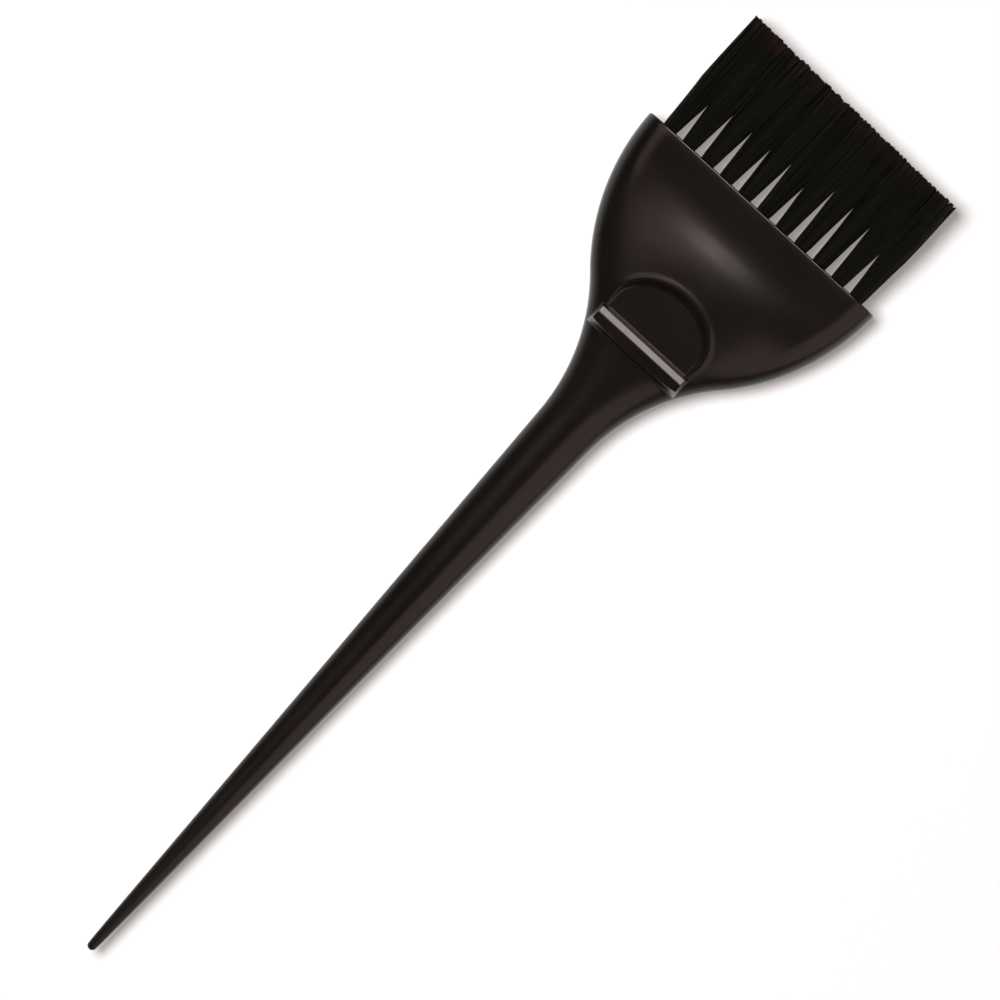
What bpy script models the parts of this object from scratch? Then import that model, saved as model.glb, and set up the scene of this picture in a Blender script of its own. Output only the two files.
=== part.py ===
"""Tint brush: a moulded body with a pin-tail handle, a thumb rest on both faces and a flared
head, and two rows of bristle tufts, each folded round a flat anchor wire in a blind hole.

+X runs along the brush to the bristle tips, Y across it and +Z through its thickness. The
origin is at the middle of the brush's length and width, on the surface that it lies on.
"""

import bpy
import bmesh
import math
import numpy as np

# Moulded body, as seen from above
BODY_LENGTH = 0.1890       # tail tip to the front face that holds the tufts
TAIL_RADIUS = 0.00093      # rounded end of the pin tail
HANDLE_TAPER = 0.0388      # half-width gained per unit of length
NECK_RADIUS = 0.0404       # hollow curve from the handle into the head
SHOULDER_RADIUS = 0.0458   # full curve from the neck to the head's corner
CORNER_ANGLE = 0.016       # direction of the head's edge at its corner, in radians
HEAD_WIDTH = 0.0575

# Moulded body, through its thickness
HANDLE_THINNING = 0.0236   # half-thickness gained per unit of length
CROWN_THICKNESS = 0.0122   # thickest place of the swollen neck
HEAD_THICKNESS = 0.0090    # flat band that holds the tufts
BAND_LENGTH = 0.0058       # flat band, along the brush
CROWN_SLOPE_LENGTH = 0.0145
CROWN_SLOPE_FILLET = 0.0050
DOME_SOFTNESS = 0.12       # rounding of the dome's ridge line, as a share of the half-width
SECTION_CHANGE = 0.0215    # length over which the neck's section becomes the head's
HEAD_EDGE_ROUND = 0.0050   # rounding of the head's side edges, across the brush
FRONT_CHAMFER = 0.0004
NECK_FULLNESS = 2.6        # exponent of the neck's section; the handle's is 2, an ellipse

# Thumb rest, alike on both faces
THUMB_SETBACK = 0.0301     # middle of the rest's round end, from the front face
THUMB_FLOOR_SPAN = 0.0090  # thickness of the neck between the two floors
THUMB_FLOOR_WIDTH = 0.0200
THUMB_FLOOR_REACH = 0.0073 # floor's round end, along the brush
THUMB_WALL_DRAFT = 0.80    # run of the wall per unit of its rise
LIP_WIDTH = 0.0014
LIP_HEIGHT = 0.00025
LIP_OFFSET = 0.0003        # crest of the lip, outside the rim
LIP_SINK = 0.00005         # edges of the bead, below the neck's surface
STOP_SETBACK = 0.0031      # front edge of the ridge's bevel, from the middle of the rest
STOP_SPAN = 0.0140         # thickness over the crests of the two ridges
STOP_BEVEL_LENGTH = 0.0015
STOP_BEVEL_FALL = 0.00045
STOP_RAMP_LENGTH = 0.0023  # top of the ridge, behind its crest
STOP_RAMP_FALL = 0.00023
STOP_FRONT_RUN = 0.0006
STOP_REAR_RUN = 0.0003
STOP_REAR_ROUND = 0.0002
STOP_MARGIN = 0.0002       # ends of the ridge, in from the neck's edges
STOP_END_RUN = 0.0006
STOP_END_ROUND = 0.0008    # rounding of the ridge's upper corners
STOP_SINK = 0.0004         # how far the ridge's feet reach under the faces they stand on
STOP_ROOT = 0.0005         # underside of the ridge's solid inside the neck, from the mid-plane

# Bristle tufts and their holes
TUFTS_PER_ROW = 11
TUFT_MARGIN = 0.00485      # middle of the last tuft, from the head's side
ROW_PITCH = 0.0042
HOLE_DIAMETER = 0.0032
HOLE_DEPTH = 0.0115
TUFT_LENGTH = 0.0270       # bristle that stands out of the head
TUFT_SPREAD_LENGTH = 0.0110  # length over which a tuft widens to fill its pitch
TUFT_TIP_HEIGHT = 0.0046   # thickness of one row at its tips
TUFT_STAGGER = 0.0004      # uneven trim of the tips
TUFT_CLEARANCE = 0.00025   # tuft to the wall and the bottom of its hole
TUFT_GAP = 0.0003          # tuft to the tufts beside it
TUFT_FULLNESS = 3.2        # exponent of a tuft's section at its tips; in the hole it is 2

# Anchor wires
ANCHOR_WIDTH = 0.0018      # along the hole
ANCHOR_THICKNESS = 0.0003
ANCHOR_BITE = 0.0003       # how far each end reaches into the hole's wall
ANCHOR_FOLD_COVER = 0.0013 # bristle folded under the anchor
ANCHOR_CLEARANCE = 0.00015

# Fineness of the solids
SECTION_POINTS = 44
SURFACE_SAMPLES = 241
EDGE_CROWDING = 1.5        # exponent that draws a section's points towards its side edges
TUFT_SIDES = 12
HOLE_SIDES = 16
BODY_SHARP_ANGLE = 32      # degrees between faces, above which an edge is shown sharp
TUFT_SHARP_ANGLE = 40

HEAD_FRONT = BODY_LENGTH
BAND_START = HEAD_FRONT - BAND_LENGTH
CROWN_X = BAND_START - CROWN_SLOPE_LENGTH
THUMB_X = HEAD_FRONT - THUMB_SETBACK
THUMB_FLOOR = THUMB_FLOOR_SPAN / 2
STOP_EDGE = THUMB_X - STOP_SETBACK
STOP_CREST = STOP_EDGE - STOP_BEVEL_LENGTH
STOP_REAR = STOP_CREST - STOP_RAMP_LENGTH
STOP_REAR_FOOT = STOP_REAR - STOP_REAR_RUN
TUFT_PITCH = (HEAD_WIDTH - 2 * TUFT_MARGIN) / (TUFTS_PER_ROW - 1)
FOLD_X = HEAD_FRONT - HOLE_DEPTH + TUFT_CLEARANCE
ANCHOR_X = FOLD_X + ANCHOR_FOLD_COVER + ANCHOR_CLEARANCE
TIP_X = HEAD_FRONT + TUFT_LENGTH


# ---------------------------------------------------------------- form of the body

def taper(x):
    return TAIL_RADIUS + HANDLE_TAPER * x


def outline_arcs():
    """Where the straight taper, the neck's arc and the shoulder's arc meet, tangent to each other."""
    start_angle = math.atan(HANDLE_TAPER)
    radii = NECK_RADIUS + SHOULDER_RADIUS
    run = NECK_RADIUS * math.sin(start_angle) + SHOULDER_RADIUS * math.sin(CORNER_ANGLE)
    rise = NECK_RADIUS * math.cos(start_angle) + SHOULDER_RADIUS * math.cos(CORNER_ANGLE)
    reach = rise - HEAD_WIDTH / 2 + taper(HEAD_FRONT + run)
    turn_angle = start_angle + math.acos(reach * math.cos(start_angle) / radii)
    neck_start = HEAD_FRONT + run - radii * math.sin(turn_angle)
    turn_x = neck_start + NECK_RADIUS * (math.sin(turn_angle) - math.sin(start_angle))
    return start_angle, turn_angle, neck_start, turn_x


START_ANGLE, TURN_ANGLE, NECK_START, TURN_X = outline_arcs()


def half_width(x):
    """Half-width of the body at each x, from the tail's ball to the head's corner."""
    ball = np.sqrt(np.clip(TAIL_RADIUS**2 - (TAIL_RADIUS - x)**2, 0, None))
    width = np.where(x < TAIL_RADIUS, ball, taper(x))
    sine = np.clip(math.sin(START_ANGLE) + (x - NECK_START) / NECK_RADIUS, 0, 1)
    neck = taper(NECK_START) + NECK_RADIUS * (math.cos(START_ANGLE) - np.sqrt(1 - sine**2))
    width = np.where(x > NECK_START, neck, width)
    turn_y = taper(NECK_START) + NECK_RADIUS * (math.cos(START_ANGLE) - math.cos(TURN_ANGLE))
    sine = np.clip(math.sin(TURN_ANGLE) - (x - TURN_X) / SHOULDER_RADIUS, 0, 1)
    shoulder = turn_y + SHOULDER_RADIUS * (np.sqrt(1 - sine**2) - math.cos(TURN_ANGLE))
    return np.where(x > TURN_X, shoulder, width)


def ease(share):
    share = np.clip(share, 0, 1)
    return share**2 * (3 - 2 * share)


def half_thickness(x):
    """Half-thickness along the middle: taper, swelling neck, crown, slope and flat band."""
    ball = np.sqrt(np.clip(TAIL_RADIUS**2 - (TAIL_RADIUS - x)**2, 0, None))
    handle = np.where(x < TAIL_RADIUS, ball, TAIL_RADIUS + HANDLE_THINNING * x)
    length = CROWN_X - NECK_START
    share = np.clip((x - NECK_START) / length, 0, 1)
    start = TAIL_RADIUS + HANDLE_THINNING * NECK_START
    slope = HANDLE_THINNING * length * share * (1 - share)**2
    neck = start + slope + (CROWN_THICKNESS / 2 - start) * ease(share)
    drop = (CROWN_THICKNESS - HEAD_THICKNESS) / 2
    angle = 2 * math.atan(drop / CROWN_SLOPE_LENGTH)
    fillet_radius = CROWN_SLOPE_FILLET / math.sin(angle)
    crown_radius = (CROWN_SLOPE_LENGTH - CROWN_SLOPE_FILLET) / math.sin(angle)
    fall = np.clip(x - CROWN_X, 0, CROWN_SLOPE_LENGTH - CROWN_SLOPE_FILLET)
    crown = CROWN_THICKNESS / 2 - crown_radius + np.sqrt(crown_radius**2 - fall**2)
    rest = np.clip(BAND_START - x, 0, CROWN_SLOPE_FILLET)
    fillet = HEAD_THICKNESS / 2 + fillet_radius - np.sqrt(fillet_radius**2 - rest**2)
    slope = np.where(x > BAND_START - CROWN_SLOPE_FILLET, fillet, crown)
    return np.select([x < NECK_START, x < CROWN_X], [handle, neck], slope)


def quarter_section(x, turn):
    """Section of the body at x: a superellipse that turns into a domed bar with round edges.

    turn runs from 0 at the side edge to a quarter turn at the middle of the top. On the bar,
    it passes the round edge and the domed top at one speed, so the mixed section has no kink.
    The dome falls off with the power 1.5 of the distance from the middle, rounded over there.
    """
    width = half_width(x)
    height = half_thickness(x)
    power = 2 / (2 + (NECK_FULLNESS - 2) * ease((x - NECK_START) / (THUMB_X - NECK_START)))
    oval = width * np.cos(turn)**power, height * np.sin(turn)**power
    edge = np.minimum(HEAD_EDGE_ROUND, width)
    edge_turn = math.pi / 2 * edge * math.pi / (2 * (width - edge) + edge * math.pi)
    round_turn = np.minimum(turn / edge_turn, 1) * math.pi / 2
    flat = np.clip((turn - edge_turn) / np.maximum(math.pi / 2 - edge_turn, 1e-9), 0, 1)
    across = (width - edge) * (1 - flat) + edge * np.cos(round_turn)
    least = DOME_SOFTNESS**1.5
    most = (1 + DOME_SOFTNESS**2)**0.75
    fall = (((across / width)**2 + DOME_SOFTNESS**2)**0.75 - least) / (most - least)
    up = HEAD_THICKNESS / 2 * np.sin(round_turn) + (height - HEAD_THICKNESS / 2) * (1 - fall)
    mix = ease((x - THUMB_X) / SECTION_CHANGE)
    return oval[0] + (across - oval[0]) * mix, oval[1] + (up - oval[1]) * mix


def surface_height(x, y):
    """Height of the body's upper face over one place."""
    across, up = quarter_section(x, np.linspace(0, math.pi / 2, SURFACE_SAMPLES))
    return float(np.interp(abs(y), across[::-1], up[::-1]))


# ---------------------------------------------------------------- mesh helpers

def new_object(name, mesh, parent=None):
    piece = bpy.data.objects.new(name, mesh)
    bpy.context.collection.objects.link(piece)
    piece.parent = parent
    return piece


def mesh_from(name, solids):
    """Mesh of one or more closed solids, each a list of points and a list of faces."""
    shape = bmesh.new()
    for points, faces in solids:
        corners = [shape.verts.new(point) for point in points]
        for face in faces:
            shape.faces.new([corners[index] for index in face])
    bmesh.ops.recalc_face_normals(shape, faces=shape.faces)
    bmesh.ops.triangulate(shape, faces=[face for face in shape.faces if len(face.verts) == 4])
    mesh = bpy.data.meshes.new(name)
    shape.to_mesh(mesh)
    shape.free()
    return mesh


def loft(rings):
    """Closed solid through rings of equally many points, with a flat cap at each end."""
    count = len(rings[0])
    faces = []
    for level in range(len(rings) - 1):
        for index in range(count):
            after = (index + 1) % count
            low = level * count
            faces.append((low + index, low + after, low + count + after, low + count + index))
    faces.append(tuple(range(count)))
    faces.append(tuple(range((len(rings) - 1) * count, len(rings) * count)))
    return [tuple(point) for ring in rings for point in ring], faces


def turned_over(solid):
    """The same solid on the lower face."""
    points, faces = solid
    return [(x, y, -z) for x, y, z in points], faces


def cutter(name, solids):
    tool = new_object(name, mesh_from(name, solids), root)
    tool.hide_render = True
    tool.display_type = "WIRE"
    return tool


def combine(piece, tool, operation):
    step = piece.modifiers.new(tool.name, "BOOLEAN")
    step.operation = operation
    step.solver = "EXACT"
    step.object = tool


def material(name, colour, roughness, metallic=0.0):
    made = bpy.data.materials.new(name)
    made.use_nodes = True
    shader = made.node_tree.nodes["Principled BSDF"]
    shader.inputs["Base Color"].default_value = (*colour, 1)
    shader.inputs["Roughness"].default_value = roughness
    shader.inputs["Metallic"].default_value = metallic
    return made


def finish(piece, look, sharp_angle):
    piece.data.materials.append(look)
    piece.data.shade_smooth()
    piece.data.set_sharp_from_angle(angle=math.radians(sharp_angle))


# ---------------------------------------------------------------- moulded body

def body_ring(x, inset=0.0):
    """Ring of the body at x, drawn in by inset, which starts and ends at the +Y edge."""
    count = SECTION_POINTS // 4
    turns = (np.arange(count) / count)**EDGE_CROWDING * math.pi / 2
    across, up = quarter_section(x, turns)
    middle = half_thickness(np.float64(x))
    across = across * (1 - inset / max(across[0], inset))
    up = up * (1 - inset / middle)
    middle -= inset
    quarters = [
        zip(across, up),
        [(0.0, middle)] + list(zip(-across[:0:-1], up[:0:-1])),
        zip(-across, -up),
        [(0.0, -middle)] + list(zip(across[:0:-1], -up[:0:-1])),
    ]
    return [(x, y, z) for quarter in quarters for y, z in quarter]


def body_stations():
    """Places along the body where its section is drawn, closer where it curves more."""
    tail = TAIL_RADIUS * (1 - np.cos(np.radians(np.linspace(8, 72, 4))))
    handle = np.linspace(TAIL_RADIUS, NECK_START, 5)
    neck = np.linspace(NECK_START, TURN_X, 11)[1:]
    shoulder = np.linspace(TURN_X, CROWN_X, 8)[1:]
    slope = np.linspace(CROWN_X, BAND_START, 9)[1:]
    band = np.linspace(BAND_START, HEAD_FRONT - FRONT_CHAMFER, 3)[1:]
    return np.concatenate([tail, handle, neck, shoulder, slope, band])


def body_shell():
    rings = [body_ring(x) for x in body_stations()]
    rings.append(body_ring(HEAD_FRONT, FRONT_CHAMFER))
    return loft(rings)


def thumb_outline(half_width_there, reach, back):
    """D of the thumb rest, anticlockwise: half an ellipse, closed by a straight side at back."""
    turn = np.linspace(-math.pi / 2, math.pi / 2, 21)
    points = [(THUMB_X + reach * math.cos(a), half_width_there * math.sin(a)) for a in turn]
    return [(back, -half_width_there)] + points + [(back, half_width_there)]


def thumb_hollow():
    """Flat floor and sloping wall of the thumb rest, drawn well past the face that it opens on."""
    back = STOP_CREST
    rise = STOP_SPAN - THUMB_FLOOR_SPAN
    run = rise * THUMB_WALL_DRAFT
    floor = thumb_outline(THUMB_FLOOR_WIDTH / 2, THUMB_FLOOR_REACH, back)
    mouth = thumb_outline(THUMB_FLOOR_WIDTH / 2 + run, THUMB_FLOOR_REACH + run, back)
    rings = [[(x, y, THUMB_FLOOR) for x, y in floor]]
    rings.append([(x, y, THUMB_FLOOR + rise) for x, y in mouth])
    return loft(rings)


def rim_point(ahead, aside, back=0.0):
    """Where the hollow's wall comes out of the neck, in one direction from its middle."""
    run = 0.0
    for _ in range(12):
        x = THUMB_X - back + (THUMB_FLOOR_REACH + run) * ahead
        y = (THUMB_FLOOR_WIDTH / 2 + run) * aside
        run = THUMB_WALL_DRAFT * max(surface_height(x, y) - THUMB_FLOOR, 0)
    return x, y


def thumb_lip():
    """Low half-round bead along the hollow's rim, sunk into the neck, its ends in the ridge."""
    back = THUMB_X - STOP_CREST
    turns = np.linspace(-math.pi / 2, math.pi / 2, 21)
    path = [rim_point(0, -1, back), rim_point(0, -1, back / 2)]
    path += [rim_point(math.cos(turn), math.sin(turn)) for turn in turns]
    path += [rim_point(0, 1, back / 2), rim_point(0, 1, back)]
    along = np.gradient(np.array(path), axis=0)
    along /= np.linalg.norm(along, axis=1)[:, None]
    heights = [0, LIP_HEIGHT / 2] + [LIP_HEIGHT] * (len(path) - 4) + [LIP_HEIGHT / 2, 0]
    rings = []
    for place, direction, height in zip(path, along, heights):
        outward = np.array([direction[1], -direction[0]])
        crest = place + outward * LIP_OFFSET
        ring = []
        for turn in np.linspace(0, math.pi, 7):
            x, y = crest + outward * LIP_WIDTH / 2 * math.cos(turn)
            ring.append((x, y, surface_height(x, y) + height * math.sin(turn) - LIP_SINK))
        for side in (-1, 1):
            x, y = crest + outward * LIP_WIDTH / 2 * side
            ring.append((x, y, surface_height(x, y) - LIP_WIDTH))
        rings.append(ring)
    return loft(rings)


def stop_section(y, top):
    """Side view of the thumb stop at y: steep rear, rising ramp, bevel, and steep front."""
    ramp = top - STOP_RAMP_FALL
    rear_foot = max(surface_height(STOP_REAR_FOOT, y) - STOP_SINK, STOP_ROOT + STOP_SINK / 2)
    rear_foot = min(rear_foot, ramp - STOP_SINK)
    front_foot = min(THUMB_FLOOR, top - STOP_BEVEL_FALL) - STOP_SINK
    front_x = STOP_EDGE + STOP_FRONT_RUN
    side = [(STOP_REAR_FOOT, STOP_ROOT), (STOP_REAR_FOOT, rear_foot)]
    side += [(STOP_REAR, ramp - STOP_REAR_ROUND), (STOP_REAR + STOP_REAR_ROUND, ramp)]
    side += [(STOP_CREST, top), (STOP_EDGE, top - STOP_BEVEL_FALL)]
    side += [(front_x, front_foot), (front_x, STOP_ROOT)]
    return [(x, y, z) for x, z in side]


def thumb_stop():
    """Ridge straight across the neck behind the thumb rest, with rounded corners and steep ends."""
    half = float(half_width(STOP_REAR_FOOT)) - STOP_MARGIN
    level = half - STOP_END_RUN
    crest = STOP_SPAN / 2
    ends = [(half, surface_height(STOP_REAR_FOOT, half))]
    ends.append((level + STOP_END_RUN / 4, crest - STOP_END_ROUND))
    ends.append((level - STOP_END_ROUND / 2, crest - STOP_END_ROUND / 4))
    rings = [stop_section(-y, top) for y, top in ends]
    middle = level - STOP_END_ROUND
    rings += [stop_section(y, crest) for y in np.linspace(-middle, middle, 5)]
    rings += [stop_section(y, top) for y, top in reversed(ends)]
    return loft(rings)


# ---------------------------------------------------------------- tufts, holes and anchors

def tuft_places():
    """Middle of each hole in the front face: row by row, and from one side to the other."""
    for row, side in (("upper", 1), ("lower", -1)):
        for index in range(TUFTS_PER_ROW):
            y = (index - (TUFTS_PER_ROW - 1) / 2) * TUFT_PITCH
            yield row, index, y, side * ROW_PITCH / 2


def turned_ring(x, radius, sides, y=0.0, z=0.0):
    turns = (np.arange(sides) + 0.5) * 2 * math.pi / sides
    return [(x, y + radius * math.cos(turn), z + radius * math.sin(turn)) for turn in turns]


def hole(y, z):
    """Blind hole with a coned bottom, drawn past the front face."""
    radius = HOLE_DIAMETER / 2
    bottom = HEAD_FRONT - HOLE_DEPTH
    rings = [turned_ring(bottom, radius / 2, HOLE_SIDES, y, z)]
    rings.append(turned_ring(bottom + radius / 2, radius, HOLE_SIDES, y, z))
    rings.append(turned_ring(HEAD_FRONT + HOLE_DIAMETER, radius, HOLE_SIDES, y, z))
    return loft(rings)


def anchor_solid(x, y, z, spare):
    """Flat wire with eased long edges, across a hole and into its wall on both sides."""
    reach = HOLE_DIAMETER / 2 + ANCHOR_BITE + spare
    thick = ANCHOR_THICKNESS / 2 + spare
    ease_edge = ANCHOR_THICKNESS / 4
    low, high = x - spare, x + ANCHOR_WIDTH + spare
    outline = [(low + ease_edge, -thick), (high - ease_edge, -thick), (high, -thick + ease_edge)]
    outline += [(high, thick - ease_edge), (high - ease_edge, thick), (low + ease_edge, thick)]
    outline += [(low, thick - ease_edge), (low, -thick + ease_edge)]
    return loft([[(px, y + side * reach, z + pz) for px, pz in outline] for side in (-1, 1)])


def tuft_ring(x, half_wide, half_high, middle, power):
    turns = (np.arange(TUFT_SIDES) + 0.5) * 2 * math.pi / TUFT_SIDES
    cosine, sine = np.cos(turns), np.sin(turns)
    across = half_wide * np.sign(cosine) * np.abs(cosine)**(2 / power)
    up = middle + half_high * np.sign(sine) * np.abs(sine)**(2 / power)
    return [(x, y, z) for y, z in zip(across, up)]


def tuft_solid(trim):
    """One bundle of bristle about its hole's axis, from its round fold to its trimmed tips.

    Above the hole it widens evenly until it meets its neighbours, then runs on straight.
    """
    radius = HOLE_DIAMETER / 2 - TUFT_CLEARANCE
    tip_width = (TUFT_PITCH - TUFT_GAP) / 2
    tip_height = TUFT_TIP_HEIGHT / 2
    tip_middle = TUFT_GAP / 2 + tip_height - ROW_PITCH / 2
    fold = FOLD_X - HEAD_FRONT
    rings = []
    for turn in np.radians([30, 60, 90]):
        size = radius * math.sin(turn)
        rings.append(tuft_ring(fold + radius * (1 - math.cos(turn)), size, size, 0, 2))
    for share in np.linspace(0, 1, 4):
        wide = radius + (tip_width - radius) * share
        high = radius + (tip_height - radius) * share
        x = TUFT_SPREAD_LENGTH * share
        power = 2 + (TUFT_FULLNESS - 2) * share
        rings.append(tuft_ring(x, wide, high, tip_middle * share, power))
    end = TUFT_LENGTH - trim
    rings.append(tuft_ring(end - TUFT_GAP, tip_width, tip_height, tip_middle, TUFT_FULLNESS))
    rings.append(tuft_ring(end, tip_width - TUFT_GAP, tip_height - TUFT_GAP, tip_middle, TUFT_FULLNESS))
    return loft(rings)


# ---------------------------------------------------------------- the brush

for old in list(bpy.data.objects):
    bpy.data.objects.remove(old, do_unlink=True)

shell, lip, stop = body_shell(), thumb_lip(), thumb_stop()
REST_HEIGHT = max(point[2] for solid in (shell, lip, stop) for point in solid[0])

root = new_object("tint_brush", None)
root.location = (-TIP_X / 2, 0, REST_HEIGHT)

plastic = material("black_plastic", (0.020, 0.018, 0.017), 0.42)
bristle = material("black_bristle", (0.013, 0.012, 0.011), 0.5)
wire = material("anchor_wire", (0.62, 0.60, 0.56), 0.35, 1.0)

places = list(tuft_places())
hollow = thumb_hollow()
hollows = cutter("thumb_hollows", [hollow, turned_over(hollow)])
lips = cutter("thumb_lips", [lip, turned_over(lip)])
stops = cutter("thumb_stops", [stop, turned_over(stop)])
holes = cutter("tuft_holes", [hole(y, z) for _, _, y, z in places])
pockets = cutter(
    "anchor_pockets",
    [anchor_solid(ANCHOR_X, y, z, ANCHOR_CLEARANCE) for _, _, y, z in places],
)

body = new_object("brush_body", mesh_from("brush_body", [shell]), root)
for tool, operation in (
    (lips, "UNION"),
    (hollows, "DIFFERENCE"),
    (stops, "UNION"),
    (holes, "DIFFERENCE"),
    (pockets, "DIFFERENCE"),
):
    combine(body, tool, operation)
finish(body, plastic, BODY_SHARP_ANGLE)

TRIMS = [TUFT_STAGGER * step / 2 for step in (0, 2, 1)]
bundles = [mesh_from(f"tuft_{step}", [tuft_solid(trim)]) for step, trim in enumerate(TRIMS)]
for bundle in bundles:
    bundle.materials.append(bristle)
    bundle.shade_smooth()
    bundle.set_sharp_from_angle(angle=math.radians(TUFT_SHARP_ANGLE))
clip = mesh_from("anchor", [anchor_solid(ANCHOR_X - HEAD_FRONT, 0, 0, 0)])
clip.materials.append(wire)

for row, index, y, z in places:
    tuft = new_object(f"tuft_{row}_{index + 1:02d}", bundles[(index * 2 + (z < 0)) % 3], root)
    tuft.location = (HEAD_FRONT, y, z)
    tuft.rotation_euler.x = 0 if z > 0 else math.pi
    combine(tuft, pockets, "DIFFERENCE")
    anchor = new_object(f"anchor_{row}_{index + 1:02d}", clip, root)
    anchor.location = (HEAD_FRONT, y, z)
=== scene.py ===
"""Dresses the tint brush: fine skin of the moulded body, every filament of the tufts, anchor
wires, and the studio. Lengths are in metres, +X runs to the bristle tips and +Z is up."""

import math

import bmesh
import bpy
import numpy as np
from mathutils import Matrix, Vector


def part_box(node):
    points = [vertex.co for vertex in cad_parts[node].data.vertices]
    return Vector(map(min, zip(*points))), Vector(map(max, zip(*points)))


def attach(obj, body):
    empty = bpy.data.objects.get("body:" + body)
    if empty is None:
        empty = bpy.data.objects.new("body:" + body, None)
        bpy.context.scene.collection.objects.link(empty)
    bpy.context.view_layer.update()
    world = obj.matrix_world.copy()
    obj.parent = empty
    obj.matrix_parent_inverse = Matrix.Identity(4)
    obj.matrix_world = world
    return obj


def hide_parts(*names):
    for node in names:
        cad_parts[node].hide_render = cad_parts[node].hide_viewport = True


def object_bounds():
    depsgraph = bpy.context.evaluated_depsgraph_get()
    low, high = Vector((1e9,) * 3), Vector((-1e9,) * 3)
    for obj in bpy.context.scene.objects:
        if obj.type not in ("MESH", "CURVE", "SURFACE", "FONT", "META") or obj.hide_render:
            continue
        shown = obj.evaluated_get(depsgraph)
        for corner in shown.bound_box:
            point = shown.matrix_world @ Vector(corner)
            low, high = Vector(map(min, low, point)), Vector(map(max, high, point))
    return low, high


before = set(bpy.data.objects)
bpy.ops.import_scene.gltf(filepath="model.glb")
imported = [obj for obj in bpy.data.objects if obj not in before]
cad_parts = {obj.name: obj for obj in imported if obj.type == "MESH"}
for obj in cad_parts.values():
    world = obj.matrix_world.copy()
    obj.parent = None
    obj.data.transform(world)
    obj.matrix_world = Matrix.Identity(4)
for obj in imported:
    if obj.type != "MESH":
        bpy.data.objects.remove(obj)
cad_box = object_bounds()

# ======================================================================== moulded body
# One injection moulding in black polypropylene: pin-tail handle, neck with a thumb rest and a
# thumb stop on each face, and a flared head. It leaves the mould with a fine satin grain and
# a thin parting line round its outline.

low, high = (np.array(corner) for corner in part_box("brush_body"))
TAIL_X = low[0]
FRONT_X = high[0]
MID_Z = (low[2] + high[2]) / 2
STOP_TOP = 0.0070                        # crests of the two thumb stops, the thickest place

PARTING_LINE = 0.00003                   # flash that stands out where the mould's halves meet
PARTING_HALF = 0.00006                   # its half-height
PARTING_START = 0.01                     # length of tail over which it rises
TAIL_RADIUS = 0.00093
HANDLE_TAPER = 0.0388                    # half-width gained per unit of length
NECK_RADIUS = 0.0404                     # hollow curve from the handle into the head
SHOULDER_RADIUS = 0.0458                 # full curve from the neck to the head's corner
CORNER_ANGLE = 0.016                     # direction of the head's edge at its corner, in radians
HEAD_HALF = (high[1] - low[1]) / 2 - PARTING_LINE
HANDLE_THINNING = 0.0236                 # half-thickness gained per unit of length
CROWN = 0.0061                           # half-thickness of the swollen neck
HEAD = 0.0045                            # half-thickness of the flat band
BAND_LENGTH = 0.0058                     # flat band, along the brush
CROWN_SLOPE_LENGTH = 0.0145
CROWN_ROUND = 0.0078                     # run over which the dome's slope grows
CROWN_SLOPE_FILLET = 0.0044              # run over which it dies out into the band
EDGE_ROUND = 0.0062                      # rounding of the head's side edges, across the brush
EDGE_POWER = 2.7                         # above 2, so that its curvature dies out at the flat
NECK_FULLNESS = 2.6                      # exponent of the neck's section; the handle's is 2
SECTION_CHANGE = 0.0215                  # run over which the neck's section becomes the head's
DOME_SOFTNESS = 0.12                     # share of the half-width over which its ridge is rounded
FRONT_ROUND = 0.0004                     # rounded edge of the front face
THUMB_SETBACK = 0.0301                   # middle of the thumb rest, from the front face

BODY_LENGTH = FRONT_X - TAIL_X
BAND_START = BODY_LENGTH - BAND_LENGTH
CROWN_X = BAND_START - CROWN_SLOPE_LENGTH
THUMB_X = BODY_LENGTH - THUMB_SETBACK


def outline_arcs():
    """Angles and places where the straight taper, the neck's arc and the shoulder's arc meet.

    The arcs are tangent to each other and to the taper; the law of cosines on their two
    centres gives the angle at which the neck's arc turns over into the shoulder's.
    """
    start = math.atan(HANDLE_TAPER)
    radii = NECK_RADIUS + SHOULDER_RADIUS
    run = NECK_RADIUS * math.sin(start) + SHOULDER_RADIUS * math.sin(CORNER_ANGLE)
    rise = NECK_RADIUS * math.cos(start) + SHOULDER_RADIUS * math.cos(CORNER_ANGLE)
    reach = rise - HEAD_HALF + TAIL_RADIUS + HANDLE_TAPER * (BODY_LENGTH + run)
    turn = start + math.acos(reach * math.cos(start) / radii)
    neck_x = BODY_LENGTH + run - radii * math.sin(turn)
    return start, turn, neck_x, neck_x + NECK_RADIUS * (math.sin(turn) - math.sin(start))


START_ANGLE, TURN_ANGLE, NECK_X, TURN_X = outline_arcs()


def ease(share):
    """Smooth step from 0 to 1: three times the square less twice the cube."""
    share = np.clip(share, 0, 1)
    return share**2 * (3 - 2 * share)


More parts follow.
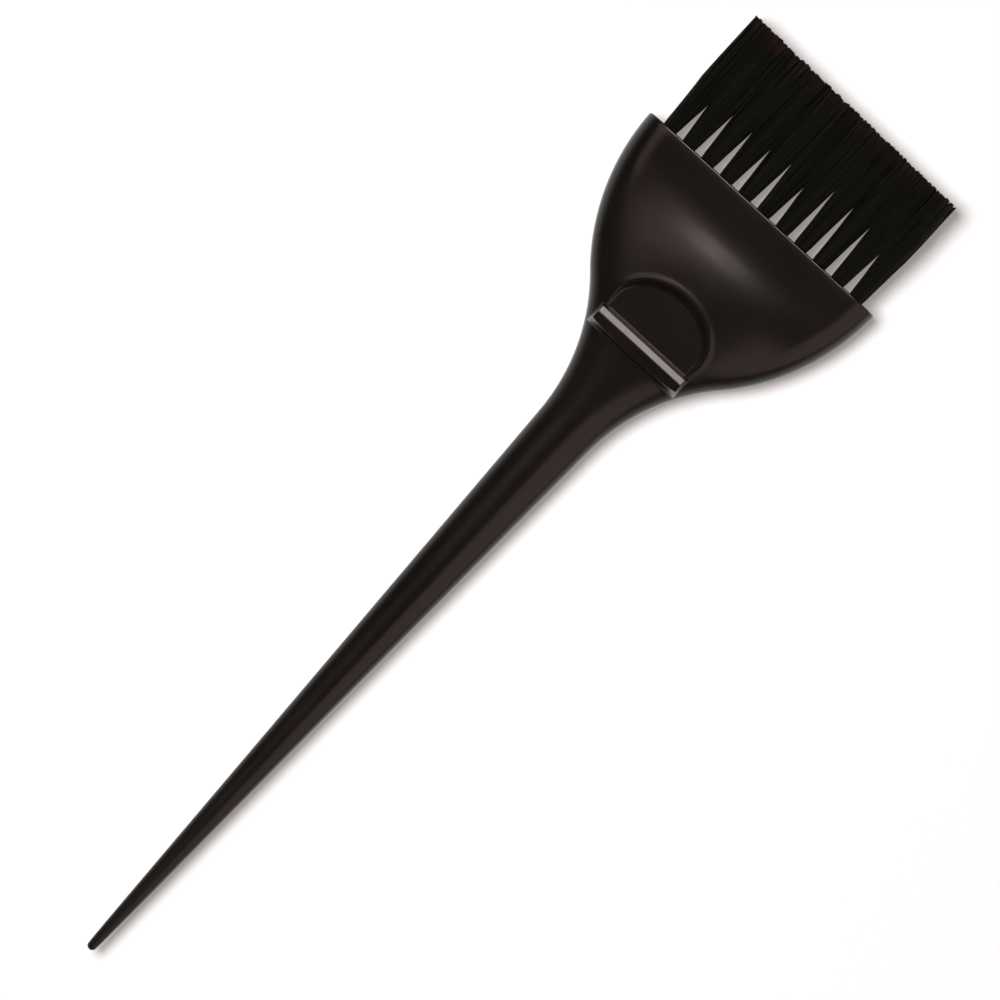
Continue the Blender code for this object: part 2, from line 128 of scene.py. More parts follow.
def half_width(x):
    """Ball at the tail, straight taper, hollow arc of the neck, full arc of the shoulder."""
    ball = np.sqrt(np.clip(TAIL_RADIUS**2 - (TAIL_RADIUS - x)**2, 0, None))
    width = np.where(x < TAIL_RADIUS, ball, TAIL_RADIUS + HANDLE_TAPER * x)
    neck_y = TAIL_RADIUS + HANDLE_TAPER * NECK_X
    sine = np.clip(math.sin(START_ANGLE) + (x - NECK_X) / NECK_RADIUS, 0, 1)
    neck = neck_y + NECK_RADIUS * (math.cos(START_ANGLE) - np.sqrt(1 - sine**2))
    turn_y = neck_y + NECK_RADIUS * (math.cos(START_ANGLE) - math.cos(TURN_ANGLE))
    sine = np.clip(math.sin(TURN_ANGLE) - (x - TURN_X) / SHOULDER_RADIUS, 0, 1)
    shoulder = turn_y + SHOULDER_RADIUS * (np.sqrt(1 - sine**2) - math.cos(TURN_ANGLE))
    return np.select([x < NECK_X, x < TURN_X], [width, neck], shoulder)


def half_thickness(x):
    """Along the middle: straight taper, eased swelling to the crown, slope down to the band.

    The slope grows evenly over CROWN_ROUND, holds, and dies out over CROWN_SLOPE_FILLET.
    """
    ball = np.sqrt(np.clip(TAIL_RADIUS**2 - (TAIL_RADIUS - x)**2, 0, None))
    handle = np.where(x < TAIL_RADIUS, ball, TAIL_RADIUS + HANDLE_THINNING * x)
    length = CROWN_X - NECK_X
    share = np.clip((x - NECK_X) / length, 0, 1)
    start = TAIL_RADIUS + HANDLE_THINNING * NECK_X
    neck = start + (CROWN - start) * ease(share)
    neck += HANDLE_THINNING * length * share * (1 - share)**2
    steep = (CROWN - HEAD) / (CROWN_SLOPE_LENGTH - (CROWN_ROUND + CROWN_SLOPE_FILLET) / 2)
    run = np.clip(x - CROWN_X, 0, CROWN_SLOPE_LENGTH)
    fall = np.where(run < CROWN_ROUND, run**2 / (2 * CROWN_ROUND), run - CROWN_ROUND / 2)
    rest = np.clip(BAND_START - x, 0, CROWN_SLOPE_FILLET)
    fillet = HEAD + steep * rest**2 / (2 * CROWN_SLOPE_FILLET)
    slope = np.where(x > BAND_START - CROWN_SLOPE_FILLET, fillet, CROWN - steep * fall)
    return np.select([x < NECK_X, x < CROWN_X], [handle, neck], slope)


def section(x, turn):
    """Quarter of the body's section at x, turn running from the side edge to the top's middle.

    A superellipse mixed, along the head, with a bar under a dome. The bar's rounded edges fall
    as the root of one less a power of the way out from the flat; the dome falls as that way
    from the middle to the power of one and a half, softened at its ridge line. Edge and flat
    are passed at one speed, so that the mixture has no kink.
    """
    width = np.maximum(half_width(x), 1e-7)
    height = np.maximum(half_thickness(x), 1e-7)
    power = 2 / (2 + (NECK_FULLNESS - 2) * ease((x - NECK_X) / (THUMB_X - NECK_X)))
    across = width * np.cos(turn)**power
    up = height * np.sin(turn)**power
    edge = np.minimum(EDGE_ROUND, width)
    edge_turn = math.pi / 2 * edge * math.pi / (2 * (width - edge) + edge * math.pi)
    arc = np.minimum(turn / edge_turn, 1) * math.pi / 2
    flat = np.clip((turn - edge_turn) / np.maximum(math.pi / 2 - edge_turn, 1e-9), 0, 1)
    bar = (width - edge) * (1 - flat) + edge * np.cos(arc)
    least = DOME_SOFTNESS**1.5
    reach = ((bar / width)**2 + DOME_SOFTNESS**2)**0.75
    fall = (reach - least) / ((1 + DOME_SOFTNESS**2)**0.75 - least)
    dome = HEAD * np.sqrt(1 - np.cos(arc)**EDGE_POWER) + (height - HEAD) * (1 - fall)
    mix = ease((x - THUMB_X) / SECTION_CHANGE)
    return across + (bar - across) * mix, up + (dome - up) * mix


# Thumb rest: a D-shaped hollow with a flat floor and a sloping wall, a low bead round its rim,
# and a bevelled ridge across the neck that the thumb stops against.

FLOOR = 0.0045                           # height of the floor over the brush's middle plane
FLOOR_HALF = 0.0100                      # half-width of the floor
FLOOR_REACH = 0.0073                     # its round end, along the brush
FLOOR_FILLET = 0.0003
WALL_DRAFT = 0.80                        # run of the wall per unit of its rise
RIM_ROUND = 0.00016
LIP_RUN = 0.0014                         # width of the bead
LIP_HEIGHT = 0.00016
LIP_SINK = 0.00001                       # edge of the bead, below the neck's surface
LIP_BLEND = 0.00006
LIP_FADE = 0.002                         # length over which the bead rises, in front of the ridge
STOP_FOOT = THUMB_X - 0.0031             # front edge of the ridge's bevel
STOP_FRONT = STOP_FOOT - 0.0015          # its crest
STOP_REAR = STOP_FRONT - 0.0023          # rear edge of its top
STOP_REAR_RUN = 0.0003
STOP_RAMP = 0.10                         # fall of the ridge's top per unit of length, backward
STOP_BEVEL = 0.30                        # fall of its front bevel per unit of length
STOP_FRONT_FALL = 4                      # fall of its front side per unit of length
STOP_REAR_RISE = 3                       # rise of its rear side per unit of length
STOP_MARGIN = 0.0002                     # ends of the ridge, in from the neck's edges
STOP_END_RUN = 0.0006                    # length that its ends slope over
STOP_END_ROUND = 0.0018
STOP_CREST_ROUND = 0.0001
STOP_FOOT_ROUND = 0.0002
STOP_FRONT_REACH = 0.0012                # how far in front of its bevel the ridge can reach


def blend_low(first, second, width):
    """The lower of two heights, rounded over where they come within width of each other."""
    near = np.maximum(width - np.abs(first - second), 0)
    return np.minimum(first, second) - near**2 / (4 * width)


def blend_high(first, second, width):
    """The higher of two heights, filleted where they come within width of each other."""
    return -blend_low(-first, -second, width)


def thumb_rest(x, y, surface):
    """Height of a neck face with its bead, its hollow and its ridge, over the plain surface.

    Distance out from the D is the place's distance from the middle, less the same along the
    ray to the ellipse of the floor, or from the straight side behind the middle. The hollow
    is the lower of the face and a wall that rises with that distance; the ridge is the
    lowest of its top, its bevel and its four slopes.
    """
    ahead = np.maximum(x - THUMB_X, 0)
    aside = np.maximum(np.abs(y), 1e-6)
    share = np.hypot(ahead / FLOOR_REACH, aside / FLOOR_HALF)
    outside = np.hypot(ahead, aside) * (1 - 1 / share)
    rim = WALL_DRAFT * np.maximum(surface - FLOOR, 0)
    across = np.maximum((outside - rim) / LIP_RUN, 0)
    fade = ease((x - STOP_FRONT) / LIP_FADE)
    bead = surface + LIP_HEIGHT * (1 - across**2) * fade - LIP_SINK
    height = blend_high(surface, bead, LIP_BLEND)
    wall = blend_high(FLOOR, FLOOR + outside / WALL_DRAFT, FLOOR_FILLET)
    hollow = np.where(x > STOP_REAR, wall, surface + STOP_TOP)
    height = blend_low(height, hollow, RIM_ROUND)

    half = float(half_width(np.float64(STOP_REAR - STOP_REAR_RUN))) - STOP_MARGIN
    level = half - STOP_END_RUN
    ramp = STOP_TOP - (STOP_FRONT - x) * STOP_RAMP
    bevel = STOP_TOP - (x - STOP_FRONT) * STOP_BEVEL
    front = STOP_TOP - (x - STOP_FOOT) * STOP_FRONT_FALL - (STOP_FOOT - STOP_FRONT) * STOP_BEVEL
    rear = surface + (x - STOP_REAR + STOP_REAR_RUN) * STOP_REAR_RISE
    end = STOP_TOP - (np.abs(y) - level) * STOP_TOP / STOP_END_RUN
    top = blend_low(ramp, bevel, STOP_CREST_ROUND)
    ridge = blend_low(top, blend_low(front, rear, STOP_FOOT_ROUND), STOP_FOOT_ROUND)
    ridge = blend_low(ridge, end, STOP_END_ROUND)
    near = (x > STOP_REAR - 2 * STOP_REAR_RUN) & (x < STOP_FOOT + STOP_FRONT_REACH)
    return np.where(near, blend_high(height, ridge, STOP_FOOT_ROUND), height)


HOLES = 11                               # in each of the two rows
HOLE_RADIUS = 0.0016
HOLE_MOUTH = 1.06                        # share of the radius that the rounded mouth opens to
HOLE_DEPTH = 0.0115
HOLE_PITCH = 0.00478
ROW_HALF = 0.0021                        # middle of a row, over the middle plane
CELL_TOP = 0.00395                       # height of a hole's cell of the front face, a pitch wide
CELL_SIDE = 14                           # edges along each side of a cell
CELL_LIMIT = 0.985                       # share of the front face's height that cells may reach
QUARTER = CELL_SIDE * (HOLES + 2) // 2
EDGE_CROWDING = 0.9                      # share by which points are drawn to the side edges
EDGE_STEPS = 4                           # number of steps over which that fades


def body_stations():
    """Where the skin's rings lie, closest over the thumb rest and the front's rounded edge."""
    return np.concatenate([
        TAIL_RADIUS * (1 - np.cos(np.radians([0, 8, 18, 30, 43, 57, 72, 86]))),
        np.linspace(0.003, NECK_X, 24),
        np.linspace(NECK_X, STOP_REAR - 2 * STOP_REAR_RUN, 26)[1:],
        np.linspace(STOP_REAR - 2 * STOP_REAR_RUN, CROWN_X, 150)[1:],
        np.linspace(CROWN_X, BAND_START, 26)[1:],
        np.linspace(BAND_START, BODY_LENGTH - FRONT_ROUND, 5)[1:],
    ])


def body_rings():
    """Rings of the skin as an array of stations by points: four mirrored quarters of a section.

    The front edge is rounded by rings that draw in by one less the cosine of their angle.
    The parting line widens the points within a step or two of the side edges, and the thumb
    rest only shapes what lies well above them.
    """
    stations = body_stations()
    rounding = np.radians([22.5, 45, 67.5, 90])
    x = np.concatenate([stations, BODY_LENGTH - FRONT_ROUND * (1 - np.sin(rounding))])[:, None]
    inset = np.concatenate([np.zeros(len(stations)), FRONT_ROUND * (1 - np.cos(rounding))])[:, None]
    step = np.arange(QUARTER + 1)
    step = step * (1 - EDGE_CROWDING * np.exp(-((step - 1) / EDGE_STEPS)**2))
    turn = (step / QUARTER * math.pi / 2)[None, :]
    across, up = section(np.minimum(x, BODY_LENGTH - FRONT_ROUND), turn)
    span = (x > STOP_REAR - 2 * STOP_REAR_RUN) & (x < BAND_START)
    up = np.where(span & (up > FLOOR / 3), thumb_rest(x, across, up), up)
    width = across[:, :1]
    across = across * (1 - inset / width)
    up = up * (1 - inset / up[:, -1:])
    across = across + PARTING_LINE * np.exp(-(up / PARTING_HALF)**2) * ease(x / PARTING_START)
    ys = np.concatenate([across[:, :-1], -across[:, :0:-1], -across[:, :-1], across[:, :0:-1]], 1)
    zs = np.concatenate([up[:, :-1], up[:, :0:-1], -up[:, :-1], -up[:, :0:-1]], 1)
    return np.stack([np.broadcast_to(x, ys.shape), ys, zs], 2)


def grid_faces(rows, columns, first=0):
    """Quads of a grid of rings, wound to face out where rings go forward and turn rightwards."""
    row, column = np.meshgrid(np.arange(rows - 1), np.arange(columns), indexing="ij")
    after = (column + 1) % columns
    quads = [row * columns + column, row * columns + after]
    quads += [(row + 1) * columns + after, (row + 1) * columns + column]
    return first + np.stack(quads, 2).reshape(-1, 4)


def front_limit(y, ring):
    """Highest place at y for the edge of the hole cells: a little under the skin's last ring."""
    quarter = ring[:QUARTER + 1]
    return CELL_LIMIT * np.interp(np.abs(y), quarter[::-1, 1], quarter[::-1, 2])


def hole_cell(middle, ring):
    """One hole and its cell of the front face: the cell's edge, a rounded mouth, wall and bottom.

    The cell's edge has 4 sides of CELL_SIDE points, held under the front face's limit; the
    hole's rings lie on the rays from the hole's middle to those points.
    """
    step = np.arange(CELL_SIDE) / CELL_SIDE
    flat = np.ones(CELL_SIDE)
    half = HOLE_PITCH / 2
    y = np.concatenate([half * flat, half - 2 * half * step, -half * flat, -half + 2 * half * step])
    z = np.concatenate([CELL_TOP * step, CELL_TOP * flat, CELL_TOP * (1 - step), 0 * flat])
    angle = np.arctan2(z - ROW_HALF, y)
    x = BODY_LENGTH + 0 * y
    rings = [np.stack([x, y + middle, np.minimum(z, front_limit(y + middle, ring))], 1)]
    mouth = ((0, HOLE_MOUTH), (0.0001, 1), (0.004, 1))
    drill_point = ((HOLE_DEPTH - HOLE_RADIUS / 2, 1), (HOLE_DEPTH, 0.5), (HOLE_DEPTH, 0))
    for depth, size in mouth + drill_point:
        ring_y = middle + HOLE_RADIUS * size * np.cos(angle)
        ring_z = ROW_HALF + HOLE_RADIUS * size * np.sin(angle)
        rings.append(np.stack([x - depth, ring_y, ring_z], 1))
    return np.stack(rings)


def front_frame(ring):
    """Flat strip from the skin's last ring in to the edge of the block of hole cells.

    The block's edge is a rectangle, its corners drawn in under the ring where that is lower.
    """
    half = HOLES * HOLE_PITCH / 2
    side = np.arange(CELL_SIDE) / CELL_SIDE * CELL_TOP
    top = np.linspace(half, 0, QUARTER - CELL_SIDE + 1)
    y = np.concatenate([half + 0 * side, top])
    z = np.concatenate([side, CELL_TOP + 0 * top])
    z = np.minimum(z, front_limit(y, ring))
    ys = np.concatenate([y[:-1], -y[:0:-1], -y[:-1], y[:0:-1]])
    zs = np.concatenate([z[:-1], z[:0:-1], -z[:-1], -z[:0:-1]])
    inner = np.stack([ring[:, 0], ys, zs], 1)
    return np.stack([ring, inner])


def mesh_object(name, points, faces):
    """Object at the origin with one smooth mesh, its points already in place."""
    mesh = bpy.data.meshes.new(name)
    mesh.from_pydata(points, [], faces)
    mesh.shade_smooth()
    made = bpy.data.objects.new(name, mesh)
    bpy.context.collection.objects.link(made)
    return made


def weld(piece, within):
    """Closes seams and poles: merges points closer than within, and turns the faces outward."""
    shape = bmesh.new()
    shape.from_mesh(piece.data)
    bmesh.ops.remove_doubles(shape, verts=shape.verts, dist=within)
    bmesh.ops.recalc_face_normals(shape, faces=shape.faces)
    shape.to_mesh(piece.data)
    shape.free()
    piece.data.shade_smooth()


def body_skin():
    """The whole moulding: rings from tail to front edge, strip of the front face, hole cells."""
    rings = body_rings()
    strip = front_frame(rings[-1])
    grids = [rings, strip]
    for side in (1, -1):
        for index in range(HOLES):
            grid = hole_cell((index - (HOLES - 1) / 2) * HOLE_PITCH, rings[-1])
            grids.append(grid * [1, 1, side])
    points = np.concatenate([grid.reshape(-1, 3) for grid in grids])
    faces = []
    count = 0
    for grid in grids:
        rows, columns = grid.shape[:2]
        faces.append(grid_faces(rows, columns, count))
        count += rows * columns
    piece = mesh_object("brush_body_skin", points + [TAIL_X, 0, MID_Z], np.concatenate(faces))
    weld(piece, 1e-6)
    return piece


skin = body_skin()
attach(skin, "root")
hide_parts("brush_body")


def add_node(tree, kind, inputs=None, **settings):
    """Shader node with its options set; an input takes a value, or is linked to a socket."""
    made = tree.nodes.new("ShaderNode" + kind)
    for name, value in settings.items():
        setattr(made, name, value)
    for name, value in (inputs or {}).items():
        if isinstance(value, bpy.types.NodeSocket):
            tree.links.new(value, made.inputs[name])
        else:
            made.inputs[name].default_value = value
    return made


def new_material(name):
    """Empty node material, its node tree, its output and Object coordinates."""
    made = bpy.data.materials.new(name)
    made.use_nodes = True
    tree = made.node_tree
    tree.nodes.clear()
    output = add_node(tree, "OutputMaterial")
    place = add_node(tree, "TexCoord").outputs["Object"]
    return made, tree, output, place


def noise(tree, place, scale, detail=2.0, stretch=None):
    """Value of a noise pattern, scale features to the metre, drawn out where stretch is given."""
    if stretch:
        place = add_node(tree, "Mapping", {"Vector": place, "Scale": stretch}).outputs["Vector"]
    wanted = {"Vector": place, "Scale": scale, "Detail": detail, "Roughness": 0.55}
    return add_node(tree, "TexNoise", wanted).outputs["Fac"]


def remap(tree, value, source, target):
    """Value carried from the source range to the target range, and held at its ends."""
    names = ("From Min", "From Max", "To Min", "To Max")
    wanted = dict(zip(names, (*source, *target)))
    return add_node(tree, "MapRange", {"Value": value, **wanted}).outputs["Result"]


def calculate(tree, operation, first, second):
    """Sum, product or larger of two values, as the operation says."""
    return add_node(tree, "Math", {0: first, 1: second}, operation=operation).outputs[0]


def mix_colours(tree, share, first, second):
    """Colour that goes from the first to the second as share goes from 0 to 1.

    A Mix node in colour mode takes its colours at inputs 6 and 7, and gives one at output 2.
    """
    return add_node(tree, "Mix", {0: share, 6: first, 7: second}, data_type="RGBA").outputs[2]


def black_plastic():
    """Satin black polypropylene: fine mould grain, faint flow marks, and wear from use.

    Roughness is the sum of a slow flow pattern, a polish that grows towards the raised neck,
    where the hand holds it, and scuffs towards the tail. The grain only moves the bump.
    """
    made, tree, output, place = new_material("black_plastic_satin")
    flow = noise(tree, place, 55, 3)
    grain = noise(tree, place, 3200, 2)
    x = add_node(tree, "SeparateXYZ", {"Vector": place}).outputs["X"]
    held = remap(tree, x, (0.0, 0.048), (0, -0.006))
    scuffed = remap(tree, x, (-0.095, -0.040), (0.15, 0))
    rough = remap(tree, flow, (0.3, 0.7), (0.215, 0.25))
    rough = calculate(tree, "ADD", calculate(tree, "ADD", rough, held), scuffed)
    dark, pale = (0.0042, 0.0031, 0.0020, 1), (0.0058, 0.0044, 0.0030, 1)
    colour = mix_colours(tree, remap(tree, flow, (0.3, 0.7), (0, 1)), dark, pale)
    bump = add_node(tree, "Bump", {"Height": grain, "Strength": 0.5, "Distance": 0.000012})
    shader = add_node(tree, "BsdfPrincipled", {
        "Base Color": colour, "Roughness": rough, "Normal": bump.outputs["Normal"],
        "IOR": 1.49, "Specular Tint": (0.62, 0.62, 0.62, 1),
    })
    tree.links.new(shader.outputs["BSDF"], output.inputs["Surface"])
    return made


skin.data.materials.append(black_plastic())

# ======================================================================== bristles
# Twenty-two tufts of black nylon filament. Each filament is folded in two round its tuft's
# anchor wire, so both its ends reach the trimmed tips; past the head the tufts widen until
# they meet their neighbours and run on side by side.

FILAMENT_RADIUS = 0.000088
FILAMENT_PITCH = 0.000186                # centre to centre, packed in the hole
FILAMENT_SIDES = 4
PACKED_RADIUS = HOLE_RADIUS - 2 * FILAMENT_RADIUS
SIDE_FILL = 1.06                         # stretch that presses the outer filaments to the wall
TUFT_CELL = (0.00228, 0.00225)           # half-width and half-height that a tuft fills
CELL_RISE = 0.00035                      # middle of the cell, out from the hole's middle
CELL_REACH = 0.0026                      # farthest that a filament lies above or below its hole
SPLAY = 0.22                             # share of a tuft's widening that comes at the mouth
SPLAY_LENGTH = 0.0009
WIDENING = 2.6                           # power that shapes the rest of it
WANDER = 0.00011                         # how far a filament strays, WANDER_LENGTH from the head
WANDER_LENGTH = 0.02
EDGE_Y = (HOLES - 1) / 2 * HOLE_PITCH + TUFT_CELL[0]

# Length over which each gap closes, from the -Y side to the +Y side, the outer edges included.
CLOSING = (
    0.0195, 0.0131, 0.0178, 0.0195, 0.0178, 0.0127, 0.0164, 0.0145, 0.0159, 0.0146, 0.0124, 0.0195,
)
MOST_CLOSING = 0.0195
UNEVEN_CLOSING = 0.08                    # spread of it among a tuft's filaments, as a share

TIP_X = cad_box[1].x
TIP_SLANT = 0.0013                       # the trimmed edge falls back towards -Y
UNEVEN_TRIM = 0.0001
CLUMP = 0.0012                           # width of the points that the tips gather into
CLUMP_PULL = 0.45                        # share of the way to a clump's middle, at the tips
CLUMP_TRIM = 0.0003                      # how much shorter a clump's edges are than its middle
MOST_CLUMPS = 8
CUT_END = 0.00002                        # a ring this far from the tip keeps the cut end crisp


def filament_places(anchor_half):
    """Hexagonal packing of folded filaments over the anchor, in one half of a round hole.

    Gives how far each lies across the hole, and how far out from the anchor's middle.
    """
    row, step = np.meshgrid(np.arange(9), np.arange(-9, 10), indexing="ij")
    across = FILAMENT_PITCH * (step + row % 2 / 2)
    out = anchor_half + FILAMENT_RADIUS + row * FILAMENT_PITCH * math.sqrt(3) / 2
    inside = np.hypot(across, out) < PACKED_RADIUS
    return SIDE_FILL * across[inside], out[inside]


def tubes(paths, radius, sides):
    """Closed tubes along many paths at once, as points and quads.

    Each ring lies square to its path, drawn from the +Y direction freed of its share along
    the path, and from the cross product of the two.
    """
    count, length = paths.shape[:2]
    along = np.gradient(paths, axis=1)
    along /= np.linalg.norm(along, axis=2, keepdims=True)
    first = np.array([0, 1, 0]) - along * along[:, :, 1:2]
    first /= np.linalg.norm(first, axis=2, keepdims=True)
    second = np.cross(along, first)
    turn = np.arange(sides) * 2 * math.pi / sides
    points = paths[:, :, None] + radius * first[:, :, None] * np.cos(turn)[:, None]
    points = points + radius * second[:, :, None] * np.sin(turn)[:, None]
    one = grid_faces(length, sides)
    caps = [np.arange(sides)[::-1], (length - 1) * sides + np.arange(sides)]
    one = np.concatenate([one, caps])
    faces = one[None] + (np.arange(count) * length * sides)[:, None, None]
    return points.reshape(-1, 3), faces.reshape(-1, sides)


def leg_stations(fold_x, closing, tip):
    """Distances from the head at which a leg has its points, closest where it bends or ends."""
    steady = 1.05 * closing
    near = [fold_x + 0 * tip, -0.0004 + 0 * tip, 0.0005 + 0 * tip, 0.0014 + 0 * tip]
    widening = [share * closing for share in (0.25, 0.45, 0.65, 0.85)]
    far = [steady, (steady + tip) / 2, tip - 0.0025, tip - CUT_END, tip]
    return np.stack(near + widening + far, 1)


def leg_paths(start_y, start_z, index, side, fold_x, middle, clumps, chance):
    """Paths of one leg of every filament of a tuft, from the fold to the tip.

    Across the section, a leg goes from its place in the round hole to the same place with
    the disc stretched radially into the cell. The first part of that way is a splay at the
    mouth that dies out exponentially. The rest is left over as a power of one less the
    squared share of the gap's closing length. Towards its tip a leg leans to the middle of
    its clump, as the fourth power of its length.
    """
    size = np.hypot(start_y, start_z)
    stretch = size / np.maximum(np.abs(start_y), np.abs(start_z)) / PACKED_RADIUS
    end_y = start_y * stretch * TUFT_CELL[0]
    end_z = start_z * stretch * TUFT_CELL[1] + side * CELL_RISE
    aside = (end_y / TUFT_CELL[0] + 1) / 2
    closing = CLOSING[index] + (CLOSING[index + 1] - CLOSING[index]) * aside
    closing = np.minimum(closing * chance.normal(1, UNEVEN_CLOSING, len(size)), MOST_CLOSING)

    place = (end_y + TUFT_CELL[0]) / CLUMP + clumps[0]
    clump = np.floor(place).astype(int)
    off = place - clump - 0.5
    slant = TIP_SLANT * (0.5 - (middle.y + end_y) / (HOLES * HOLE_PITCH))
    tip = TIP_X - FRONT_X - slant - np.abs(chance.normal(0, UNEVEN_TRIM, len(size)))
    tip = tip - clumps[1][clump] - CLUMP_TRIM * (2 * off)**2

    x = leg_stations(fold_x, closing, tip)
    out = np.maximum(x, 0)
    share = np.clip(x / closing[:, None], 0, 1)
    splay = SPLAY * (1 - np.exp(-out / SPLAY_LENGTH))
    spread = splay + (1 - SPLAY) * (1 - (1 - share**2)**WIDENING)
    wander = chance.normal(0, WANDER, (2, len(size), 1)) * (out / WANDER_LENGTH)**2
    y = start_y[:, None] + (end_y - start_y)[:, None] * spread + wander[0]
    y = y - CLUMP_PULL * CLUMP * off[:, None] * (out / tip[:, None])**4
    z = start_z[:, None] + (end_z - start_z)[:, None] * spread + wander[1] * 0.5
    z = np.clip(z, -CELL_REACH, CELL_REACH)
    y = np.clip(y + middle.y, -EDGE_Y, EDGE_Y)
    return np.stack([x + FRONT_X, y, z + middle.z], 2)


def tuft_paths(index, side, chance):
    """Path of every filament of one tuft: in along one leg, half round the anchor, and out."""
    low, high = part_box(f"anchor_{'upper' if side > 0 else 'lower'}_{index + 1:02d}")
    middle = (low + high) / 2
    across, out = filament_places((high.z - low.z) / 2)
    clumps = (chance.random(), chance.random(MOST_CLUMPS)**2 * CLUMP_TRIM)
    fold_x = low.x - FRONT_X
    above = leg_paths(across, out, index, side, fold_x, middle, clumps, chance)
    below = leg_paths(across, -out, index, side, fold_x, middle, clumps, chance)
    turn = np.radians([45, 90, 135])
    fold = np.stack([
        low.x - out[:, None] * np.sin(turn),
        middle.y + across[:, None] + 0 * turn,
        middle.z + out[:, None] * np.cos(turn),
    ], 2)
    return np.concatenate([above[:, ::-1], fold, below], 1)


def black_nylon():
    """Black nylon filament: tone differs from one to the next, and tint has browned some tips."""
    made, tree, output, place = new_material("black_nylon")
    tone = add_node(tree, "Attribute", attribute_name="tone").outputs["Fac"]
    x = add_node(tree, "SeparateXYZ", {"Vector": place}).outputs["X"]
    tip = remap(tree, x, (TIP_X - 0.0042, TIP_X - 0.0022), (0, 1))
    stain = remap(tree, noise(tree, place, 1, 2, (260, 1300, 1300)), (0.45, 0.60), (0, 1))
    dark, pale = (0.0012, 0.0014, 0.0007, 1), (0.0076, 0.0080, 0.0052, 1)
    tinted = (0.0175, 0.0085, 0.0064, 1)
    colour = mix_colours(tree, tone, dark, pale)
    colour = mix_colours(tree, calculate(tree, "MULTIPLY", tip, stain), colour, tinted)
    streak = noise(tree, place, 1, 2, (250, 4000, 4000))
    rough = remap(tree, streak, (0.3, 0.7), (0.34, 0.52))
    shader = add_node(tree, "BsdfPrincipled", {
        "Base Color": colour, "Roughness": rough,
        "IOR": 1.53, "Specular Tint": (0.21, 0.21, 0.19, 1),
    })
    tree.links.new(shader.outputs["BSDF"], output.inputs["Surface"])
    return made


nylon = black_nylon()
for side, row in ((1, "upper"), (-1, "lower")):
    for index in range(HOLES):
        chance = np.random.default_rng(100 * (side + 1) + index)
        paths = tuft_paths(index, side, chance)
        shape = tubes(paths, FILAMENT_RADIUS, FILAMENT_SIDES)
        piece = mesh_object(f"bristles_{row}_{index + 1:02d}", *shape)
        tone = np.repeat(chance.random(len(paths)), paths.shape[1] * FILAMENT_SIDES)
        attribute = piece.data.attributes.new("tone", "FLOAT", "POINT")
        attribute.data.foreach_set("value", tone.astype(np.float32))
        piece.data.materials.append(nylon)
        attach(piece, "root")
        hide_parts(f"tuft_{row}_{index + 1:02d}")

# ======================================================================== anchor wires
# Flat pieces of plated steel wire, driven into the holes over the folded filaments;
# their ends bite into the walls. They keep the solids' shape and get a drawn-wire finish.


def drawn_wire():
    """Plated wire with fine draw lines across the brush, along the wire's length."""
    made, tree, output, place = new_material("drawn_wire")
    lines = noise(tree, place, 1, 3, (9000, 300, 9000))
    rough = remap(tree, lines, (0.3, 0.7), (0.22, 0.42))
    bump = add_node(tree, "Bump", {"Height": lines, "Strength": 0.3, "Distance": 0.000005})
    clean, tarnished = (0.66, 0.63, 0.56, 1), (0.55, 0.51, 0.43, 1)
    shader = add_node(tree, "BsdfPrincipled", {
        "Base Color": mix_colours(tree, noise(tree, place, 900), clean, tarnished),
        "Metallic": 1.0, "Roughness": rough, "Normal": bump.outputs["Normal"],
    })
    tree.links.new(shader.outputs["BSDF"], output.inputs["Surface"])
    return made


wire = drawn_wire()
for name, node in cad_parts.items():
    if name.startswith("anchor"):
        node.data.materials.clear()
        node.data.materials.append(wire)

# ======================================================================== studio
# White table that curves up into a wall all round, a soft key high over the +Y side that throws
# the short shadow, and three dim boxes that light no table and only gleam in the plastic.

SWEEP_FLAT = 3.2                         # radius of the flat table
SWEEP_CURVE = 1.4                        # radius of the curve at its rim
SWEEP_SIDES = 96
FLOOR_DROP = 0.00002                     # gap under the brush, so that no faces fight
TABLE_LIFT = 0.30                        # light that the table keeps in the shadow, as seen


def studio_sweep():
    """Flat disc that curves up a quarter circle at its rim: a profile turned about the Z axis."""
    bend = np.linspace(0, math.pi / 2, 13)[1:]
    reach = np.concatenate([[0, 0.5], [SWEEP_FLAT], SWEEP_FLAT + SWEEP_CURVE * np.sin(bend)])
    height = np.concatenate([[0, 0, 0], SWEEP_CURVE * (1 - np.cos(bend))]) - FLOOR_DROP
    turn = np.arange(SWEEP_SIDES) * 2 * math.pi / SWEEP_SIDES
    grid = np.stack([
        reach[:, None] * np.cos(turn),
        reach[:, None] * np.sin(turn),
        height[:, None] + 0 * turn,
    ], 2)
    return grid.reshape(-1, 3), grid_faces(len(reach), SWEEP_SIDES)[:, ::-1]


def table_white():
    """Matt white that the camera, and anything that mirrors it, sees as plain white."""
    made, tree, output, _ = new_material("table_white")
    matt = add_node(tree, "BsdfDiffuse", {"Color": (0.55, 0.55, 0.55, 1)})
    path = add_node(tree, "LightPath").outputs
    seen = calculate(tree, "MAXIMUM", path["Is Camera Ray"], path["Is Glossy Ray"])
    seen = calculate(tree, "MAXIMUM", seen, path["Is Transmission Ray"])
    lift = calculate(tree, "MULTIPLY", seen, TABLE_LIFT)
    glow = add_node(tree, "Emission", {"Color": (1, 0.89, 0.87, 1), "Strength": lift})
    both = add_node(tree, "AddShader", {0: matt.outputs[0], 1: glow.outputs[0]})
    tree.links.new(both.outputs[0], output.inputs["Surface"])
    return made


sweep = mesh_object("studio_sweep", *studio_sweep())
weld(sweep, 1e-6)
sweep.data.materials.append(table_white())


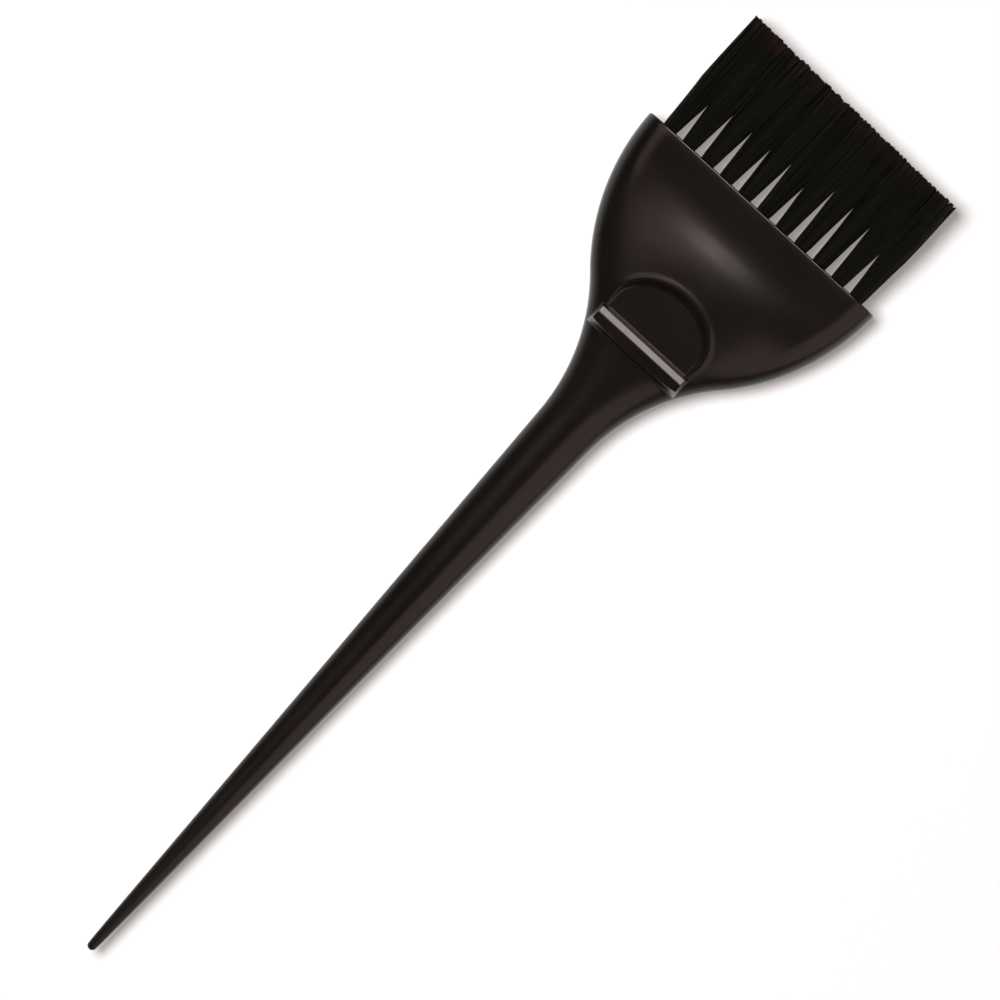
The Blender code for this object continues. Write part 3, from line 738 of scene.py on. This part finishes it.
def soft_light(name, place, size, power, colour):
    """Round area light of a diameter and power, at a place in the studio, aimed at the brush."""
    data = bpy.data.lights.new(name, "AREA")
    data.shape = "DISK"
    data.size = size
    data.energy = power
    data.color = colour
    lamp = bpy.data.objects.new(name, data)
    lamp.location = place
    lamp.rotation_euler = Vector(place).to_track_quat("Z", "Y").to_euler()
    bpy.context.collection.objects.link(lamp)
    return lamp


def toward(turned, leaning):
    """Direction turned from +X about the vertical, and leaning from it, in degrees."""
    turned, leaning = math.radians(turned), math.radians(leaning)
    flat = math.sin(leaning)
    return Vector((flat * math.cos(turned), flat * math.sin(turned), math.cos(leaning)))


KEY_DISTANCE = 1.7
BOX_DISTANCE = 1.5

key = soft_light("high_key", toward(100, 13.6) * KEY_DISTANCE, 0.62, 41, (1, 1, 1))
key.visible_glossy = False
boxes = (
    ("front_box", toward(11.1, 38.3) * BOX_DISTANCE, 0.56, 15.0, (1, 0.87, 0.84)),
    ("left_box", toward(49.0, 32.3) * BOX_DISTANCE, 1.15, 4.9, (1, 0.66, 0.70)),
    ("side_box", toward(-81.3, 47.3) * BOX_DISTANCE, 1.80, 9.3, (1, 0.73, 0.70)),
)
for box in boxes:
    soft_light(*box).visible_diffuse = False

world = bpy.data.worlds.new("studio")
bpy.context.scene.world = world
world.use_nodes = True
world.node_tree.nodes["Background"].inputs["Color"].default_value = (1, 0.94, 0.88, 1)
world.node_tree.nodes["Background"].inputs["Strength"].default_value = 0.05

# The camera looks straight down from two metres, turned so that the brush points up and right.

CAMERA_HEIGHT = 2.0
VIEW_RIGHT = Vector((0.6757, -0.7372, 0))
VIEW_UP = Vector((0.7372, 0.6757, 0))

camera = bpy.data.objects.new("camera", bpy.data.cameras.new("camera"))
bpy.context.collection.objects.link(camera)
camera.data.sensor_width = 36
camera.data.lens = 379.7
camera.data.clip_end = 20
camera.location = (0.00743, 0.00008, CAMERA_HEIGHT + MID_Z)
facing = Matrix((VIEW_RIGHT, VIEW_UP, (0, 0, 1))).transposed()
camera.rotation_euler = facing.to_euler()
bpy.context.scene.camera = camera
bpy.context.scene.view_settings.view_transform = "Standard"
